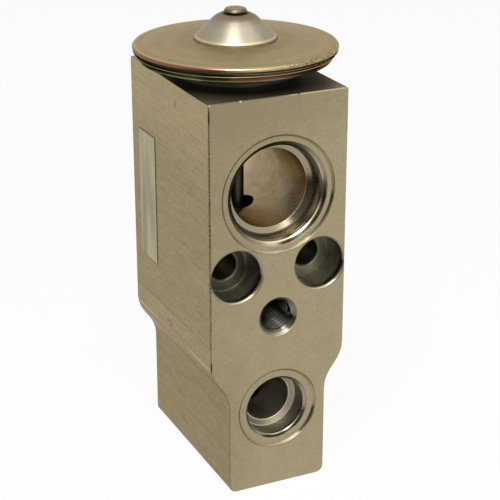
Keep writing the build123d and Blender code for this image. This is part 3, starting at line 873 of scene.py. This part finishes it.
spring_low, spring_high = (corner[2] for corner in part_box("valve_spring"))
active_rise = spring_high - spring_low - 2 * end_pitch
spring = bmesh.new()
wire_start = Matrix.Translation((coil_radius, 0, spring_low)) @ Matrix.Rotation(math.pi / 2, 4, "X")
section = bmesh.ops.create_circle(
    spring, segments=wire_facets, radius=wire_radius, matrix=wire_start
)["verts"]
swept = section + list(spring.edges)
for turns, rise in ((1, end_pitch), (active_turns, active_rise), (1, end_pitch)):
    swept = sweep(spring, swept, turns, rise, turns * turn_steps)
bmesh.ops.edgeloop_fill(spring, edges=[edge for edge in spring.edges if edge.is_boundary])
for height, outwards in ((spring_low, -1), (spring_high, 1)):
    bmesh.ops.bisect_plane(
        spring,
        geom=list(spring.verts) + list(spring.edges) + list(spring.faces),
        dist=1e-8,
        plane_co=(0, 0, height),
        plane_no=(0, 0, outwards),
        clear_outer=True,
    )
    ground_edges = [edge for edge in spring.edges if edge.is_boundary]
    bmesh.ops.holes_fill(spring, edges=ground_edges, sides=0)
bmesh.ops.recalc_face_normals(spring, faces=spring.faces)

coil = Finish("spring steel")
coil_material = coil.shade(
    base_color=coil.blend(coil.noise(1500.0), coil_colour, coil_shade),
    metallic=0.95,
    roughness=0.3,
)
spring_piece = settle(spring, "spring_coil", coil_material, None)
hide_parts("valve_spring")
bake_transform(spring_piece)

# Ball holder and adjusting screw: two turned brass pieces in the lower chamber. The screw is set from
# below with a hexagon key.
turned_brass_colour = (0.58, 0.44, 0.20, 1.0)
turned_brass_shade = (0.44, 0.33, 0.15, 1.0)
turned_brass = turned_metal(
    "turned brass", 4500.0, turned_brass_colour, turned_brass_shade, 0.9, 0.3
)
dress("ball_holder", turned_brass)
dress("adjusting_screw", turned_brass)

# Seals: three moulded rubber rings, black and slightly oiled, each squeezed in a groove round the neck,
# the pin or the adjusting screw.
rubber_colour = (0.018, 0.018, 0.018, 1.0)

rubber = Finish("seal rubber")
rubber_material = rubber.shade(
    base_color=rubber_colour,
    roughness=0.42 + rubber.noise(1800.0) * 0.12,
)
for name in ("head_o_ring", "pin_o_ring", "adjusting_screw_o_ring"):
    dress(name, rubber_material)

# Side label: a bare strip of silver foil, stuck to the left side, with dark lines along its front, top
# and low edges.
label_front = 0.00695
label_low = 0.0393
label_high = 0.0657
edge_width = 0.00022
foil_colour = (0.440, 0.395, 0.295, 1.0)
foil_shade = (0.270, 0.235, 0.162, 1.0)
edge_line_colour = (0.080, 0.062, 0.035, 1.0)

foil = Finish("label foil")
foil_z = foil.place.part("Z")
foil_cloud = foil.noise(foil.stretched(200.0, 260.0, 45.0), 2.0, 0.5)
edge_lines = (
    foil.place.part("Y").above(label_front + edge_width, label_front)
    + foil_z.above(label_high - edge_width, label_high)
    + foil_z.above(label_low + edge_width, label_low)
)
silver = foil.blend(foil_cloud.above(0.35, 0.75), foil_colour, foil_shade)
foil_material = foil.shade(
    base_color=foil.blend(edge_lines.above(0.1, 0.9), silver, edge_line_colour),
    metallic=1.0,
    specular_tint=edge_tint,
    roughness=0.3,
    normal=foil.bump(foil_cloud, 0.00003),
)
dress("side_label", foil_material)

# Studio: a white floor under a soft sky, a large lamp high on the left, a weaker one high on the right
# and a small one in front, and dark cards at the left that only the metal sees.
paper_colour = (0.95, 0.95, 0.95, 1.0)
card_colour = (0.02, 0.02, 0.018, 1.0)
sky_colour = (0.05, 0.05, 0.05, 1.0)
sky_strength = 0.4
floor_half_width = 3.0
card_turn = math.radians(48)
lamp_distance = 0.6
target = Vector((0.0, -0.005, 0.045))


def mostly_white(finish, shader, share):
    """Shows a shader as white, by a share, to the camera and in reflections."""
    rays = ("Is Camera Ray", "Is Glossy Ray", "Is Transmission Ray")
    seen = sum(finish.node("ShaderNodeLightPath", output=ray) for ray in rays)
    white = finish.node("ShaderNodeEmission")
    return finish.node("ShaderNodeMixShader", {}, {0: seen * share, 1: shader, 2: white})


def plane(name, half_x, half_y, material):
    """Flat sheet of the studio."""
    shape = bmesh.new()
    bmesh.ops.create_grid(shape, x_segments=1, y_segments=1, size=1.0)
    bmesh.ops.scale(shape, verts=shape.verts, vec=(half_x, half_y, 1.0))
    mesh = bpy.data.meshes.new(name)
    shape.to_mesh(mesh)
    shape.free()
    mesh.materials.append(material)
    sheet_object = bpy.data.objects.new(name, mesh)
    bpy.context.scene.collection.objects.link(sheet_object)
    return sheet_object


paper = Finish("floor paper")
matte = paper.node("ShaderNodeBsdfDiffuse", {}, {"Color": paper_colour})
paper_material = paper.show(mostly_white(paper, matte, 0.94))
plane("floor", floor_half_width, floor_half_width, paper_material)

black = Finish("card black").shade(base_color=card_colour, roughness=0.9)
for name, half_x, half_y, distance, height, tilt in (
    ("low_card", 0.12, 0.10, 0.205, 0.0005, 0),
    ("high_card", 0.15, 0.05, 0.305, 0.05, 90),
):
    card = plane(name, half_x, half_y, black)
    card.location = (-distance * math.sin(card_turn), -distance * math.cos(card_turn), height)
    card.rotation_euler = (math.radians(tilt), 0.0, -card_turn)
    card.visible_camera = False
    card.visible_diffuse = False
    card.visible_shadow = False

sky = Finish("sky", "worlds")
glow = sky.node("ShaderNodeBackground", {}, {"Color": sky_colour, "Strength": sky_strength})
bpy.context.scene.world = sky.show(mostly_white(sky, glow, 0.98), "ShaderNodeOutputWorld")

for name, aim, width, height, power in (
    ("left_lamp", (-0.29, -0.45, 0.84), 0.26, 0.22, 3.4),
    ("right_lamp", (0.42, -0.36, 0.84), 0.36, 0.30, 0.44),
    ("front_lamp", (0.06, -0.93, 0.36), 0.12, 0.09, 0.27),
):
    lamp_data = bpy.data.lights.new(name, "AREA")
    lamp_data.shape = "RECTANGLE"
    lamp_data.size = width
    lamp_data.size_y = height
    lamp_data.energy = power
    lamp = bpy.data.objects.new(name, lamp_data)
    bpy.context.scene.collection.objects.link(lamp)
    lamp.location = target + Vector(aim).normalized() * lamp_distance
    lamp.rotation_euler = (target - lamp.location).to_track_quat("-Z", "Y").to_euler()

# Camera: the photo's viewpoint, to the left of the port face and a little above the valve, as the fit
# of the photo's edges and hole outlines gave it.
camera_place = (-0.1137, -0.2485, 0.1532)
camera_aim = Vector((0.394, 0.839, -0.375))

camera_data = bpy.data.cameras.new("camera")
camera_data.sensor_width = 36.0
camera_data.lens = 107.1
camera_data.clip_start = 0.01
camera_data.clip_end = 20.0
camera = bpy.data.objects.new("camera", camera_data)
bpy.context.scene.collection.objects.link(camera)
camera.location = camera_place
camera.rotation_euler = camera_aim.to_track_quat("-Z", "Y").to_euler()
bpy.context.scene.camera = camera
bpy.context.scene.view_settings.view_transform = "Standard"
